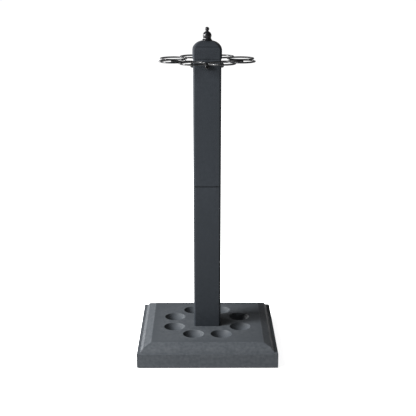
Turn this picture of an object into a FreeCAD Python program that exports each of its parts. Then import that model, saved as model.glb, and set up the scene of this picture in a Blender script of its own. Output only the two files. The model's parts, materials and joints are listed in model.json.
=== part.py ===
import FreeCAD, Part
import math
import os

from FreeCAD import Placement, Rotation, Vector

# Umbrella stand: a square weighted base with eight cups, a square post in two sections,
# a domed cap with a turned finial, and a rack of eight wire rings round the post.
# Millimetres. The origin is the centre of the footprint on the floor, and +Z is up.

# Base
BASE_WIDTH = 330.0
BASE_LIFT = 2.0
SKIRT_TOP = 37.2
RISER_TOP = 46.4
BASE_TOP = 53.3
RISER_FOOT_INSET = 7.3
RISER_TOP_INSET = 15.0
BEVEL_INSET = 32.2
SHELL_WALL = 3.0
SKIRT_ROUND = 1.6

# Cups
CUP_COUNT = 8
FIRST_ANGLE = 22.5
CUP_PITCH_RADIUS = 86.9
CUP_RADIUS = 25.0
CUP_DEPTH = 15.0
CUP_LIP_ROUND = 1.5

# Ribs, bosses, ballast and bottom plate inside the base
RIB_WALL = 3.0
PLATE_BOTTOM = 8.0
PLATE_THICKNESS = 2.0
PLATE_CLEARANCE = 0.5
BALLAST_WIDTH = 250.0
BALLAST_THICKNESS = 8.0
BALLAST_HOLE_RADIUS = 30.0
HUB_RADIUS = 22.0
HUB_POCKET_RADIUS = 15.0
HUB_POCKET_TOP = 30.0
KEY_WIDTH = 20.0
KEY_DEPTH = 3.0
SCREW_BOSS_RADIUS = 6.0
SCREW_BOSS_TOP = 48.5
CORNER_SCREW_PLACE = 138.0
SIDE_SCREW_PLACE = 138.0

# Feet and small screws
FOOT_TOP_RADIUS = 15.0
FOOT_BOTTOM_RADIUS = 13.0
FOOT_RECESS_RADIUS = 6.0
FOOT_RECESS_HEIGHT = 4.5
SMALL_SCREW_RADIUS = 2.0
SMALL_SCREW_HEAD_RADIUS = 4.0
SMALL_SCREW_HEAD_HEIGHT = 2.5
SMALL_SCREW_SLOT = 1.0
SMALL_SCREW_BITE = 20.0
PILOT_EXTRA_DEPTH = 1.0

# Post
POST_WIDTH = 65.0
POST_WALL = 2.0
POST_ROUND = 5.0
SEAM_BOTTOM = 403.3
SEAM_HEIGHT = 2.0
POST_TOP = 721.0
PLUG_WALL = 3.0
PLUG_LENGTH = 30.0
PLUG_FLOOR = 5.0
PLUG_INNER_ROUND = 1.0
PLUG_HUB_RADIUS = 10.0
TOP_PLUG_FLANGE = 3.0
COUPLER_LENGTH = 40.0
COUPLER_FLANGE_INSET = 1.2
COUPLER_HUB_RADIUS = 11.0
COUPLER_HUB_LENGTH = 20.0

# Tie rod and its fittings
ROD_RADIUS = 4.0
ROD_HOLE_RADIUS = 4.5
ROD_BOTTOM = 18.0
ROD_TOP = 756.0
NUT_FLATS = 13.0
NUT_HEIGHT = 6.5
WASHER_RADIUS = 12.0
WASHER_THICKNESS = 2.0
COUPLING_NUT_LENGTH = 30.0

# Cap
CAP_WIDTH = 68.0
CAP_ROUND = 6.0
CAP_BOTTOM = 704.0
CAP_SHOULDER = 725.0
CAP_TOP = 743.0
CAP_CROWN_HALF = 7.0
CAP_CROWN_STEPS = 8
CAP_HOLLOW_TOP = 738.0
CAP_HOLLOW_HALF_BOTTOM = 26.0
CAP_HOLLOW_HALF_TOP = 12.0
CAP_GROOVE_TOP = 731.6
CAP_GROOVE_HEIGHT = 1.2
CAP_GROOVE_DEPTH = 0.8

# Finial, measured up from its seat on the finial washer
FINIAL_WASHER_RADIUS = 12.5
FINIAL_WASHER_THICKNESS = 1.0
FINIAL_FOOT_RADIUS = 11.5
FINIAL_FOOT_HEIGHT = 1.2
FINIAL_WAIST_RADIUS = 9.4
FINIAL_BALL_RADIUS = 10.25
FINIAL_BALL_HEIGHT = 10.6
FINIAL_SHOULDER_RADIUS = 6.2
FINIAL_NECK_RADIUS = 3.3
FINIAL_COVE_SHARE = 0.25
FINIAL_TIP_RADIUS = 5.0
FINIAL_TIP_HEIGHT = 25.4
FINIAL_HOLE_DEPTH = 14.0

# Rack
RING_COUNT = 8
RING_PITCH_RADIUS = 85.0
RING_GAP = 0.5
WIRE_RADIUS = 2.0
RACK_HEIGHT = 699.0
WELD_RADIUS = 2.1
WELD_LENGTH = 7.0
WELD_END_ROUND = 1.25
BRACKET_COUNT = 4
BRACKET_WIDTH = 12.0
BRACKET_THICKNESS = 2.0
BRACKET_REACH = 84.0
BRACKET_BEND = 3.0
RACK_SCREW_HEIGHT = 686.5
RACK_SCREW_RADIUS = 3.0
RACK_SCREW_LENGTH = 14.0
RACK_SCREW_HEAD_RADIUS = 5.5
RACK_SCREW_HEAD_HEIGHT = 4.6
RACK_SCREW_HEAD_ROUND = 3.45
RACK_SCREW_SOCKET_FLATS = 4.0
RACK_SCREW_SOCKET_DEPTH = 2.4
RACK_NUT_FLATS = 10.0
RACK_NUT_HEIGHT = 5.0

# Play between a screw or rod and the wall round it, and between plugs and tubes
THREAD_PLAY = 0.05
SLIP_PLAY = 0.2

SHELL_CEILING = BASE_TOP - SHELL_WALL
PLATE_TOP = PLATE_BOTTOM + PLATE_THICKNESS
BALLAST_TOP = PLATE_TOP + BALLAST_THICKNESS
CAP_SEAT = POST_TOP + TOP_PLUG_FLANGE
SEAM_TOP = SEAM_BOTTOM + SEAM_HEIGHT
SEAM_MIDDLE = SEAM_BOTTOM + SEAM_HEIGHT / 2
TUBE_HALF_INSIDE = POST_WIDTH / 2 - POST_WALL
PLUG_HALF = TUBE_HALF_INSIDE - SLIP_PLAY
RING_OUTER_RADIUS = RING_PITCH_RADIUS * math.sin(math.pi / RING_COUNT) - RING_GAP / 2
RING_RADIUS = RING_OUTER_RADIUS - WIRE_RADIUS
JUNCTION_RADIUS = RING_PITCH_RADIUS * math.cos(math.pi / RING_COUNT)
FINIAL_SEAT = CAP_TOP + FINIAL_WASHER_THICKNESS

UP = Vector(0, 0, 1)
ALONG_X = Vector(1, 0, 0)


def square_wire(half, height):
    """A sharp-cornered square outline, given by half its width, at one height."""
    corners = [Vector(-half, -half, height), Vector(half, -half, height),
               Vector(half, half, height), Vector(-half, half, height)]
    return Part.makePolygon(corners + corners[:1])


def frustum(half_bottom, bottom, half_top, top):
    """A solid with flat sloping sides between two squares."""
    return Part.makeLoft([square_wire(half_bottom, bottom), square_wire(half_top, top)], True, True)


def square_block(half, bottom, top):
    return Part.makeBox(2 * half, 2 * half, top - bottom, Vector(-half, -half, bottom))


def rounded_block(half, rounding, bottom, top):
    """A square block whose four upright edges are rounded."""
    block = square_block(half, bottom, top)
    upright = [edge for edge in block.Edges if edge.BoundBox.ZLength > (top - bottom) / 2]
    return block.makeFillet(rounding, upright)


def disc(radius, bottom, top, x=0.0, y=0.0):
    return Part.makeCylinder(radius, top - bottom, Vector(x, y, bottom), UP)


def hexagon_block(flats, bottom, top):
    """A hexagonal prism, given by the distance across its flats."""
    corner_radius = flats / math.sqrt(3)
    corners = [Vector(corner_radius * math.cos(math.radians(60 * k)),
                      corner_radius * math.sin(math.radians(60 * k)), bottom) for k in range(6)]
    face = Part.Face(Part.makePolygon(corners + corners[:1]))
    return face.extrude(Vector(0, 0, top - bottom))


def turned(shape, degrees):
    """A copy of the shape, turned about the upright axis of the stand."""
    copy = shape.copy()
    copy.rotate(Vector(0, 0, 0), UP, degrees)
    return copy


def around(shape, count, first=0.0):
    """Copies of the shape, evenly spaced about the upright axis."""
    return [turned(shape, first + 360.0 / count * k) for k in range(count)]


def polar(radius, degrees):
    return radius * math.cos(math.radians(degrees)), radius * math.sin(math.radians(degrees))


def fused(shapes):
    return shapes[0].multiFuse(shapes[1:]).removeSplitter()


def corner_places():
    return [(x, y) for x in (-CORNER_SCREW_PLACE, CORNER_SCREW_PLACE)
            for y in (-CORNER_SCREW_PLACE, CORNER_SCREW_PLACE)]


def side_places():
    return [polar(SIDE_SCREW_PLACE, 90.0 * k) for k in range(4)]


# ---- base -------------------------------------------------------------------------------


def base_outside():
    """The skirt block with its two raised, bevelled tiers."""
    half = BASE_WIDTH / 2
    skirt = square_block(half, BASE_LIFT, SKIRT_TOP)
    rounded = [edge for edge in skirt.Edges if edge.BoundBox.ZMax > SKIRT_TOP / 2]
    skirt = skirt.makeFillet(SKIRT_ROUND, rounded)
    riser = frustum(half - RISER_FOOT_INSET, SKIRT_TOP, half - RISER_TOP_INSET, RISER_TOP)
    bevel = frustum(half - RISER_TOP_INSET, RISER_TOP, half - BEVEL_INSET, BASE_TOP)
    return fused([skirt, riser, bevel])


def base_hollow():
    """The space inside the shell, one wall thickness in from the outside."""
    half = BASE_WIDTH / 2 - SHELL_WALL
    skirt = square_block(half, BASE_LIFT, SKIRT_TOP - SHELL_WALL)
    riser = frustum(half - RISER_FOOT_INSET, SKIRT_TOP - SHELL_WALL,
                    half - RISER_TOP_INSET, RISER_TOP - SHELL_WALL)
    bevel = frustum(half - RISER_TOP_INSET, RISER_TOP - SHELL_WALL, half - BEVEL_INSET, SHELL_CEILING)
    return fused([skirt, riser, bevel])


def cup_sphere(extra):
    """The ball that a cup is cut with, grown by extra."""
    radius = (CUP_RADIUS ** 2 + CUP_DEPTH ** 2) / (2 * CUP_DEPTH)
    centre = BASE_TOP - CUP_DEPTH + radius
    return Part.makeSphere(radius + extra, Vector(CUP_PITCH_RADIUS, 0, centre))


def cup_bulge():
    """The underside of a cup, which hangs below the ceiling of the shell."""
    below = disc(2 * CUP_RADIUS, BASE_LIFT, SHELL_CEILING + SHELL_WALL / 2, CUP_PITCH_RADIUS)
    return cup_sphere(SHELL_WALL).common(below)


def shell_ribs():
    reach = BASE_WIDTH / 2 - SHELL_WALL / 2
    rib = Part.makeBox(2 * reach, RIB_WALL, SHELL_CEILING - BALLAST_TOP + SHELL_WALL / 2,
                       Vector(-reach, -RIB_WALL / 2, BALLAST_TOP))
    return [rib, turned(rib, 90)]


def screw_bosses():
    places = corner_places() + side_places()
    return [disc(SCREW_BOSS_RADIUS, PLATE_TOP, SCREW_BOSS_TOP, x, y) for x, y in places]


def is_circle(edge):
    return not edge.Degenerated and isinstance(edge.Curve, Part.Circle)


def is_cup_lip(edge):
    at_top = abs(edge.BoundBox.ZMax - BASE_TOP) < SLIP_PLAY
    return at_top and is_circle(edge) and abs(edge.Curve.Radius - CUP_RADIUS) < SLIP_PLAY


def base_shell():
    outside = base_outside()
    hub = disc(HUB_RADIUS, PLATE_TOP, SHELL_CEILING + SHELL_WALL / 2)
    inside_parts = [hub] + shell_ribs() + screw_bosses()
    inside_parts += around(cup_bulge(), CUP_COUNT, FIRST_ANGLE)
    shell = fused([outside.cut(base_hollow())] + [part.common(outside) for part in inside_parts])
    shell = shell.cut(around(cup_sphere(0), CUP_COUNT, FIRST_ANGLE))
    shell = shell.makeFillet(CUP_LIP_ROUND, [edge for edge in shell.Edges if is_cup_lip(edge)])
    pilot_top = PLATE_TOP + SMALL_SCREW_BITE + PILOT_EXTRA_DEPTH
    pilots = [disc(SMALL_SCREW_RADIUS + THREAD_PLAY, PLATE_TOP, pilot_top, x, y)
              for x, y in corner_places() + side_places()]
    key = square_block(KEY_WIDTH / 2 + SLIP_PLAY, BASE_TOP - KEY_DEPTH, BASE_TOP)
    pocket = disc(HUB_POCKET_RADIUS, PLATE_TOP, HUB_POCKET_TOP)
    bore = disc(ROD_HOLE_RADIUS, PLATE_TOP, BASE_TOP)
    return shell.cut(pilots + [key, pocket, bore])


def ballast_plate():
    plate = rounded_block(BALLAST_WIDTH / 2, POST_ROUND, PLATE_TOP, BALLAST_TOP)
    return plate.cut(disc(BALLAST_HOLE_RADIUS, PLATE_TOP, BALLAST_TOP))


def bottom_plate():
    half = BASE_WIDTH / 2 - SHELL_WALL - PLATE_CLEARANCE
    plate = rounded_block(half, SKIRT_ROUND, PLATE_BOTTOM, PLATE_TOP)
    holes = [disc(SMALL_SCREW_RADIUS + SLIP_PLAY, PLATE_BOTTOM, PLATE_TOP, x, y)
             for x, y in corner_places() + side_places()]
    return plate.cut(holes)


def foot(x, y):
    body = Part.makeCone(FOOT_BOTTOM_RADIUS, FOOT_TOP_RADIUS, PLATE_BOTTOM, Vector(x, y, 0), UP)
    recess = disc(FOOT_RECESS_RADIUS, 0, FOOT_RECESS_HEIGHT, x, y)
    hole = disc(SMALL_SCREW_RADIUS + SLIP_PLAY, 0, PLATE_BOTTOM, x, y)
    return body.cut([recess, hole])


def small_screw(x, y, seat):
    """A pan-head screw pointing up, whose head bears upwards on the given height."""
    head = disc(SMALL_SCREW_HEAD_RADIUS, seat - SMALL_SCREW_HEAD_HEIGHT, seat, x, y)
    rim = [edge for edge in head.Edges if edge.BoundBox.ZMax < seat - SMALL_SCREW_HEAD_HEIGHT / 2]
    head = head.makeFillet(SMALL_SCREW_HEAD_HEIGHT / 2, rim)
    shank = disc(SMALL_SCREW_RADIUS, seat, PLATE_TOP + SMALL_SCREW_BITE, x, y)
    slot_start = Vector(x - SMALL_SCREW_HEAD_RADIUS / 2, y - SMALL_SCREW_SLOT / 2,
                        seat - SMALL_SCREW_HEAD_HEIGHT)
    slot = Part.makeBox(SMALL_SCREW_HEAD_RADIUS, SMALL_SCREW_SLOT, SMALL_SCREW_SLOT, slot_start)
    return head.fuse(shank).removeSplitter().cut([slot])


# ---- post and tie rod --------------------------------------------------------------------


def post_tube(bottom, top):
    outside = rounded_block(POST_WIDTH / 2, POST_ROUND, bottom, top)
    return outside.cut(rounded_block(TUBE_HALF_INSIDE, POST_ROUND - POST_WALL, bottom, top))


def post_upper():
    tube = post_tube(SEAM_TOP, POST_TOP)
    start = Vector(0, 0, RACK_SCREW_HEIGHT)
    hole = Part.makeCylinder(RACK_SCREW_RADIUS + SLIP_PLAY, POST_WIDTH, start, ALONG_X)
    return tube.cut(around(hole, BRACKET_COUNT))


def plug_sleeve(bottom, top):
    outside = rounded_block(PLUG_HALF, POST_ROUND - POST_WALL, bottom, top)
    inside = rounded_block(PLUG_HALF - PLUG_WALL, PLUG_INNER_ROUND, bottom, top)
    return outside.cut(inside)


def post_foot_plug():
    """The plug that keys the post's lower end to the base."""
    top = BASE_TOP + PLUG_LENGTH
    floor = rounded_block(PLUG_HALF, POST_ROUND - POST_WALL, BASE_TOP, BASE_TOP + PLUG_FLOOR)
    hub = disc(PLUG_HUB_RADIUS, BASE_TOP, top)
    key = square_block(KEY_WIDTH / 2, BASE_TOP - KEY_DEPTH + SLIP_PLAY, BASE_TOP)
    plug = fused([floor, plug_sleeve(BASE_TOP, top), hub, key])
    return plug.cut(disc(ROD_HOLE_RADIUS, BASE_TOP - KEY_DEPTH, top))


def post_top_plug():
    """The plug in the post's upper end, whose flange carries the cap."""
    bottom = POST_TOP - PLUG_LENGTH + TOP_PLUG_FLANGE
    flange_top = POST_TOP + TOP_PLUG_FLANGE
    flange = rounded_block(POST_WIDTH / 2, POST_ROUND, POST_TOP, flange_top)
    hub = disc(PLUG_HUB_RADIUS, bottom, flange_top)
    plug = fused([flange, plug_sleeve(bottom, POST_TOP), hub])
    return plug.cut(disc(ROD_HOLE_RADIUS, bottom, flange_top))


def post_coupler():
    """The sleeve that joins the two tubes; its thin flange shows as the seam line."""
    sleeve = plug_sleeve(SEAM_MIDDLE - COUPLER_LENGTH, SEAM_MIDDLE + COUPLER_LENGTH)
    flange = rounded_block(POST_WIDTH / 2 - COUPLER_FLANGE_INSET, POST_ROUND - COUPLER_FLANGE_INSET,
                           SEAM_BOTTOM, SEAM_TOP)
    hub = disc(COUPLER_HUB_RADIUS, SEAM_MIDDLE - COUPLER_HUB_LENGTH, SEAM_MIDDLE + COUPLER_HUB_LENGTH)
    coupler = fused([flange, sleeve, hub])
    bore_radius = NUT_FLATS / math.sqrt(3) + SLIP_PLAY
    return coupler.cut(disc(bore_radius, SEAM_MIDDLE - COUPLER_LENGTH, SEAM_MIDDLE + COUPLER_LENGTH))


def nut(bottom, top):
    return hexagon_block(NUT_FLATS, bottom, top).cut(disc(ROD_RADIUS + THREAD_PLAY, bottom, top))


def tie_rod_lower():
    return disc(ROD_RADIUS, ROD_BOTTOM, SEAM_BOTTOM)


def tie_rod_upper():
    return disc(ROD_RADIUS, SEAM_TOP, ROD_TOP)


def rod_coupling_nut():
    return nut(SEAM_MIDDLE - COUPLING_NUT_LENGTH / 2, SEAM_MIDDLE + COUPLING_NUT_LENGTH / 2)


def base_washer():
    bottom = HUB_POCKET_TOP - WASHER_THICKNESS
    return disc(WASHER_RADIUS, bottom, HUB_POCKET_TOP).cut(disc(ROD_HOLE_RADIUS, bottom, HUB_POCKET_TOP))


def base_nut():
    top = HUB_POCKET_TOP - WASHER_THICKNESS
    return nut(top - NUT_HEIGHT, top)


# ---- cap and finial ----------------------------------------------------------------------


def crown_radius():
    """The radius of the domed top's arc, which ends level at the flat crown."""
    run = CAP_WIDTH / 2 - CAP_CROWN_HALF
    rise = CAP_TOP - CAP_SHOULDER
    return (run ** 2 + rise ** 2) / (2 * rise)


def crown_levels():
    """Half width and height up the domed top, from its shoulder to its crown."""
    radius = crown_radius()
    steepest = math.asin((CAP_WIDTH / 2 - CAP_CROWN_HALF) / radius)
    angles = [steepest * (1 - k / CAP_CROWN_STEPS) for k in range(CAP_CROWN_STEPS + 1)]
    return [(CAP_CROWN_HALF + radius * math.sin(angle), CAP_TOP - radius * (1 - math.cos(angle)))
            for angle in angles]


def rounded_wire(half, rounding, height):
    """A square outline with round corners, at one height."""
    block = rounded_block(half, rounding, height, height + half)
    bottom_face = min(block.Faces, key=lambda face: face.CenterOfMass.z)
    return bottom_face.OuterWire


def cap_crown():
    """The domed top, lofted through square outlines whose corners stay in proportion."""
    round_share = CAP_ROUND / (CAP_WIDTH / 2)
    wires = [rounded_wire(half, half * round_share, height) for half, height in crown_levels()]
    return Part.makeLoft(wires, True, False)


def cap_groove():
    """The fine groove round the cap, a little way up its dome."""
    radius = crown_radius()
    drop = CAP_TOP - CAP_GROOVE_TOP
    half = CAP_CROWN_HALF + math.sqrt(radius ** 2 - (radius - drop) ** 2) - CAP_GROOVE_DEPTH
    bottom = CAP_GROOVE_TOP - CAP_GROOVE_HEIGHT
    core = rounded_block(half, CAP_ROUND - CAP_GROOVE_DEPTH, bottom, CAP_GROOVE_TOP)
    return square_block(CAP_WIDTH / 2, bottom, CAP_GROOVE_TOP).cut(core)


def post_cap():
    sleeve = rounded_block(CAP_WIDTH / 2, CAP_ROUND, CAP_BOTTOM, CAP_SHOULDER)
    cap = fused([sleeve, cap_crown()])
    fit = rounded_block(POST_WIDTH / 2 + SLIP_PLAY, POST_ROUND + SLIP_PLAY, CAP_BOTTOM, CAP_SEAT)
    hollow = frustum(CAP_HOLLOW_HALF_BOTTOM, CAP_SEAT, CAP_HOLLOW_HALF_TOP, CAP_HOLLOW_TOP)
    return cap.cut([cap_groove(), fit, hollow, disc(ROD_HOLE_RADIUS, CAP_SEAT, CAP_TOP)])


def finial_washer():
    return disc(FINIAL_WASHER_RADIUS, CAP_TOP, FINIAL_SEAT).cut(disc(ROD_HOLE_RADIUS, CAP_TOP, FINIAL_SEAT))


def on_circle(radius, centre_height, distance, side):
    """The point of a circle round the axis at this distance from it, above or below its middle."""
    return Vector(distance, 0, centre_height + side * math.sqrt(radius ** 2 - distance ** 2))


def finial_profile():
    """Half the outline of the finial: foot, cove, ball, cove and tip ball."""
    waist = on_circle(FINIAL_BALL_RADIUS, FINIAL_BALL_HEIGHT, FINIAL_WAIST_RADIUS, -1)
    shoulder = on_circle(FINIAL_BALL_RADIUS, FINIAL_BALL_HEIGHT, FINIAL_SHOULDER_RADIUS, 1)
    neck = on_circle(FINIAL_TIP_RADIUS, FINIAL_TIP_HEIGHT, FINIAL_NECK_RADIUS, -1)
    foot_edge = Vector(FINIAL_FOOT_RADIUS, 0, FINIAL_FOOT_HEIGHT)
    tip = Vector(0, 0, FINIAL_TIP_HEIGHT + FINIAL_TIP_RADIUS)
    lower_cove = Vector(FINIAL_WAIST_RADIUS, 0, (foot_edge.z + waist.z) / 2)
    cove_radius = FINIAL_NECK_RADIUS + FINIAL_COVE_SHARE * (shoulder.x - neck.x)
    upper_cove = Vector(cove_radius, 0, (shoulder.z + neck.z) / 2)
    ball_side = Vector(FINIAL_BALL_RADIUS, 0, FINIAL_BALL_HEIGHT)
    tip_side = Vector(FINIAL_TIP_RADIUS, 0, FINIAL_TIP_HEIGHT)
    return [Part.LineSegment(Vector(0, 0, 0), Vector(FINIAL_FOOT_RADIUS, 0, 0)),
            Part.LineSegment(Vector(FINIAL_FOOT_RADIUS, 0, 0), foot_edge),
            Part.Arc(foot_edge, lower_cove, waist),
            Part.Arc(waist, ball_side, shoulder),
            Part.Arc(shoulder, upper_cove, neck),
            Part.Arc(neck, tip_side, tip),
            Part.LineSegment(tip, Vector(0, 0, 0))]


def finial():
    outline = Part.Wire([curve.toShape() for curve in finial_profile()])
    body = Part.Face(outline).revolve(Vector(0, 0, 0), UP, 360)
    body.translate(Vector(0, 0, FINIAL_SEAT))
    return body.cut(disc(ROD_RADIUS + THREAD_PLAY, FINIAL_SEAT, FINIAL_SEAT + FINIAL_HOLE_DEPTH))


# ---- rack --------------------------------------------------------------------------------


def rack_ring(index):
    x, y = polar(RING_PITCH_RADIUS, FIRST_ANGLE + 360.0 / RING_COUNT * index)
    return Part.makeTorus(RING_RADIUS, WIRE_RADIUS, Vector(x, y, RACK_HEIGHT), UP)


def rack_bracket():
    """An angled strap: a tab on the post's +X face, and a leg under the rings it carries."""
    inner = POST_WIDTH / 2
    leg_top = RACK_HEIGHT - WIRE_RADIUS
    leg = Part.makeBox(BRACKET_REACH - inner, BRACKET_WIDTH, BRACKET_THICKNESS,
                       Vector(inner, -BRACKET_WIDTH / 2, leg_top - BRACKET_THICKNESS))
    tab = Part.makeBox(BRACKET_THICKNESS, BRACKET_WIDTH, leg_top - RACK_SCREW_HEIGHT,
                       Vector(inner, -BRACKET_WIDTH / 2, RACK_SCREW_HEIGHT))
    screw_place = Vector(inner, 0, RACK_SCREW_HEIGHT)
    tab_end = Part.makeCylinder(BRACKET_WIDTH / 2, BRACKET_THICKNESS, screw_place, ALONG_X)
    strap = fused([leg, tab, tab_end])
    bend = [edge for edge in strap.Edges
            if edge.BoundBox.XMax < inner + THREAD_PLAY and edge.BoundBox.ZMin > leg_top - THREAD_PLAY]
    strap = strap.makeFillet(BRACKET_BEND, bend)
    hole = Part.makeCylinder(RACK_SCREW_RADIUS + SLIP_PLAY, BRACKET_THICKNESS, screw_place, ALONG_X)
    return strap.cut(hole)


def along_x_from_post(shape, distance):
    """Lays an upright shape along +X, its base at this distance from the post's axis."""
    laid = shape.copy()
    laid.Placement = Placement(Vector(distance, 0, RACK_SCREW_HEIGHT), Rotation(Vector(0, 1, 0), 90))
    return laid


def rack_screw():
    """A button-head screw through a bracket, with a hexagon socket."""
    head = disc(RACK_SCREW_HEAD_RADIUS, 0, RACK_SCREW_HEAD_HEIGHT)
    rim = [edge for edge in head.Edges if edge.BoundBox.ZMin > RACK_SCREW_HEAD_HEIGHT / 2]
    head = head.makeFillet(RACK_SCREW_HEAD_ROUND, rim)
    shank = disc(RACK_SCREW_RADIUS, -RACK_SCREW_LENGTH, 0)
    socket = hexagon_block(RACK_SCREW_SOCKET_FLATS, RACK_SCREW_HEAD_HEIGHT - RACK_SCREW_SOCKET_DEPTH,
                           RACK_SCREW_HEAD_HEIGHT)
    screw = head.fuse(shank).removeSplitter().cut(socket)
    return along_x_from_post(screw, POST_WIDTH / 2 + BRACKET_THICKNESS)


def rack_nut():
    """The weld nut inside the post that a rack screw bites into."""
    block = hexagon_block(RACK_NUT_FLATS, 0, RACK_NUT_HEIGHT)
    block = block.cut(disc(RACK_SCREW_RADIUS + THREAD_PLAY, 0, RACK_NUT_HEIGHT))
    return along_x_from_post(block, TUBE_HALF_INSIDE - RACK_NUT_HEIGHT)


def ring_welds(rings, brackets):
    """A bead between each two neighbouring rings, shaped by the wires that it joins."""
    start = Vector(JUNCTION_RADIUS - WELD_LENGTH / 2, 0, RACK_HEIGHT)
    bead = Part.makeCylinder(WELD_RADIUS, WELD_LENGTH, start, ALONG_X)
    bead = bead.makeFillet(WELD_END_ROUND, [edge for edge in bead.Edges if is_circle(edge)])
    return [one.cut(rings + brackets) for one in around(bead, RING_COUNT)]


# ---- all pieces --------------------------------------------------------------------------


def base_nodes():
    nodes = {"base_shell": [base_shell()], "ballast_plate": [ballast_plate()],
             "bottom_plate": [bottom_plate()]}
    for name, (x, y) in zip(("front_left", "rear_left", "front_right", "rear_right"), corner_places()):
        nodes["foot_" + name] = [foot(x, y)]
    nodes["foot_screws"] = [small_screw(x, y, FOOT_RECESS_HEIGHT) for x, y in corner_places()]
    nodes["bottom_screws"] = [small_screw(x, y, PLATE_BOTTOM) for x, y in side_places()]
    nodes["base_washer"] = [base_washer()]
    nodes["base_nut"] = [base_nut()]
    return nodes


def post_nodes():
    return {"post_lower": [post_tube(BASE_TOP, SEAM_BOTTOM)], "post_upper": [post_upper()],
            "post_foot_plug": [post_foot_plug()], "post_coupler": [post_coupler()],
            "post_top_plug": [post_top_plug()], "tie_rod_lower": [tie_rod_lower()],
            "tie_rod_upper": [tie_rod_upper()], "rod_coupling_nut": [rod_coupling_nut()],
            "post_cap": [post_cap()], "finial_washer": [finial_washer()], "finial": [finial()]}


def rack_nodes():
    rings = [rack_ring(k) for k in range(RING_COUNT)]
    brackets = around(rack_bracket(), BRACKET_COUNT)
    nodes = {"ring_" + str(k + 1): [ring] for k, ring in enumerate(rings)}
    for side, bracket in zip(("right", "rear", "left", "front"), brackets):
        nodes["rack_bracket_" + side] = [bracket]
    nodes["ring_welds"] = ring_welds(rings, brackets)
    nodes["rack_screws"] = around(rack_screw(), BRACKET_COUNT)
    nodes["rack_weld_nuts"] = around(rack_nut(), BRACKET_COUNT)
    return nodes


def main():
    os.makedirs("parts", exist_ok=True)
    for name, solids in {**base_nodes(), **post_nodes(), **rack_nodes()}.items():
        shape = solids[0] if len(solids) == 1 else Part.makeCompound(solids)
        shape.exportStep("parts/" + name + ".step")
        print(name, len(shape.Solids), shape.isValid(), round(shape.Volume))


main()
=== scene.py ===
import json
import math

import bmesh
import bpy
from mathutils import Matrix, Vector
from mathutils.geometry import delaunay_2d_cdt


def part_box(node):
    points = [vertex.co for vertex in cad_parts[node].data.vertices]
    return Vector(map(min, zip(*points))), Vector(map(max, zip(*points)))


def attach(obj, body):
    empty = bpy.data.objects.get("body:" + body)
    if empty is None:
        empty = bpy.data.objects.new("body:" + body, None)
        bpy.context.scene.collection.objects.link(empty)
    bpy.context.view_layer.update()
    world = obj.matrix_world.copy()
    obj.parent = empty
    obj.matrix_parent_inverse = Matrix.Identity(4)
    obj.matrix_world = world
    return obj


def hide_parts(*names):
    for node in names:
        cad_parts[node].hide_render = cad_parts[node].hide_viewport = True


# The looks of an umbrella stand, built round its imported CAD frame. Metres, +Z up.

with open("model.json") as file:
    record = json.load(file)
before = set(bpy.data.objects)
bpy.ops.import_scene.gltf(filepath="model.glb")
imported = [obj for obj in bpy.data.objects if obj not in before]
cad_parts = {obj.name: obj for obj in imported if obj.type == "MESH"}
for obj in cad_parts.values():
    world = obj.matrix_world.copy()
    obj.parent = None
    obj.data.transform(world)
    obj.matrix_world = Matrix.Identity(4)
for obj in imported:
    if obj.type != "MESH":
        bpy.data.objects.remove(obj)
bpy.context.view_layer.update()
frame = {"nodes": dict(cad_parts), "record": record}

MM = 0.001
TURN = 2 * math.pi
SHARP_ANGLE = math.radians(32)

# Base mouldings: half widths come in from the skirt, heights down from the flat top
RISER_FOOT_INSET = 7.3 * MM
RISER_TOP_INSET = 15.0 * MM
BEVEL_INSET = 32.2 * MM
SKIRT_DROP = 16.1 * MM
RISER_DROP = 6.9 * MM
SHELL_WALL = 3.0 * MM
BASE_CORNER = 1.3 * MM
SKIRT_FOOT_ROUND = 0.7 * MM
SKIRT_ROUND = 1.6 * MM
RISER_FOOT_ROUND = 0.7 * MM
RISER_ROUND = 1.2 * MM
BEVEL_ROUND = 2.0 * MM
BEVEL_LAND = 3.0 * MM
SKIRT_INNER_ROUND = 0.5 * MM
CUP_COUNT = 8
CUP_FIRST_ANGLE = math.radians(22.5)
CUP_PITCH_RADIUS = 86.9 * MM
CUP_RADIUS = 25.0 * MM
CUP_DEPTH = 15.0 * MM
CUP_LIP = 1.5 * MM
HUB_RADIUS = 22.0 * MM
HUB_POCKET_RADIUS = 15.0 * MM
HUB_POCKET_TOP = 30.0 * MM
ROD_HOLE_RADIUS = 4.5 * MM
SCREW_BOSS_RADIUS = 6.0 * MM
SCREW_BOSS_TOP = 48.5 * MM
SCREW_PLACE = 138.0 * MM

# Post and cap
POST_WALL = 2.0 * MM
POST_CORNER = 5.0 * MM
POST_END_ROUND = 0.7 * MM
CAP_CORNER = 6.0 * MM
CAP_RISE = 18.0 * MM
CAP_CROWN_HALF = 7.0 * MM
CAP_PLAY = 0.2 * MM
CAP_BAND_HEIGHT = 1.0 * MM
CAP_FOOT_ROUND = 0.9 * MM
CAP_INNER_ROUND = 0.4 * MM
CAP_GROOVE_MARGIN = 0.3 * MM
CAP_GROOVE_DEPTH = 0.8 * MM
CAP_GROOVE_DROP = 11.4 * MM
CAP_GROOVE_HEIGHT = 1.2 * MM
CAP_SEAT_DROP = 19.0 * MM

# Finial, measured up from its foot
FINIAL_WAIST_RADIUS = 9.4 * MM
FINIAL_FOOT_RADIUS = 11.5 * MM
FINIAL_FOOT_HEIGHT = 1.2 * MM
FINIAL_BALL_RADIUS = 10.25 * MM
FINIAL_BALL_HEIGHT = 10.6 * MM
FINIAL_SHOULDER_RADIUS = 6.2 * MM
FINIAL_NECK_RADIUS = 3.3 * MM
FINIAL_TIP_RADIUS = 5.0 * MM
FINIAL_HOLE_RADIUS = 4.05 * MM
FINIAL_HOLE_DEPTH = 14.0 * MM
FINIAL_FOOT_CHAMFER = 0.3 * MM
FINIAL_COVE_SHARE = 0.25

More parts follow.
